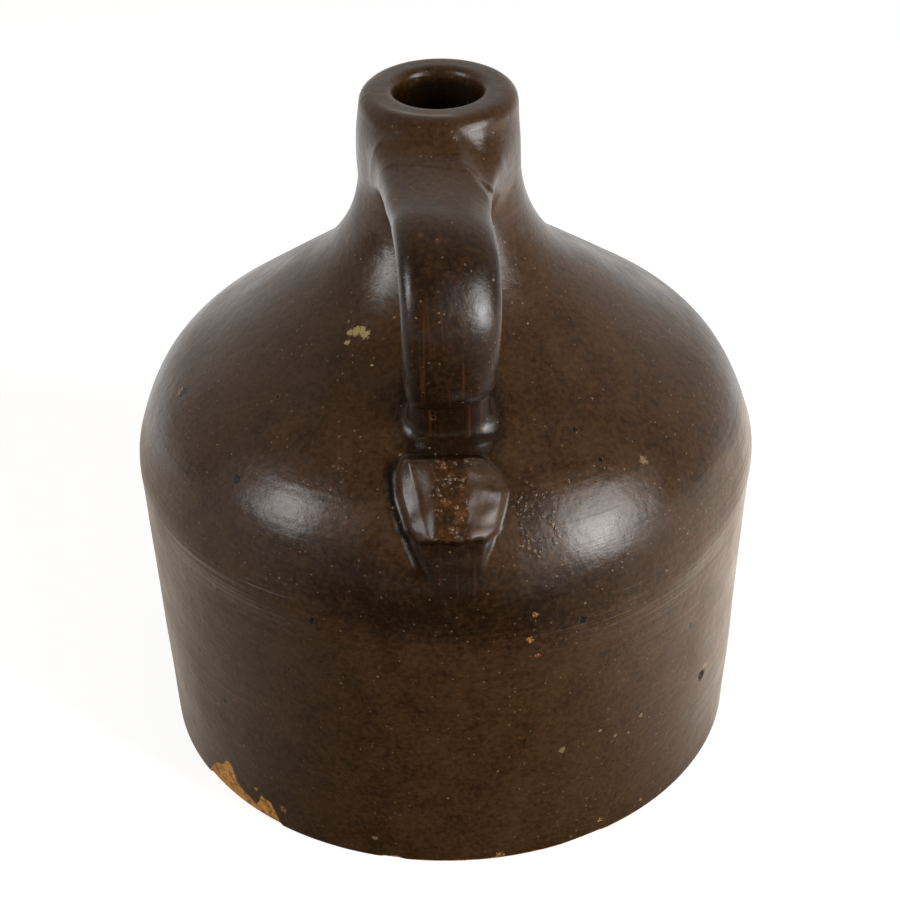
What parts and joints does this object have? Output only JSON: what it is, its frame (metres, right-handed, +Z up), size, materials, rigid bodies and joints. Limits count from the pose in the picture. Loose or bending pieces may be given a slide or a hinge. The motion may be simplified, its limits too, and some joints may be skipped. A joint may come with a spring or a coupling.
{
  "type": "beehive jug",
  "caption": "Dark brown glazed stoneware beehive jug with straight wall, domed shoulder, thick-lipped neck and a pulled strap handle pressed on the shoulder.",
  "frame": {"origin": "centre of the foot, on the surface that the jug stands on", "axes": "+Z up along the axis of the body, -Y towards the handle, +X to the right of someone who faces the handle"},
  "size_m": [0.1998, 0.1998, 0.226],
  "materials": {
    "glaze": "glossy dark brown slip glaze over tan stoneware, with pits, specks and small chips that show the clay"
  },
  "bodies": {
    "root": {"jug": "glaze"}
  },
  "joints": []
}
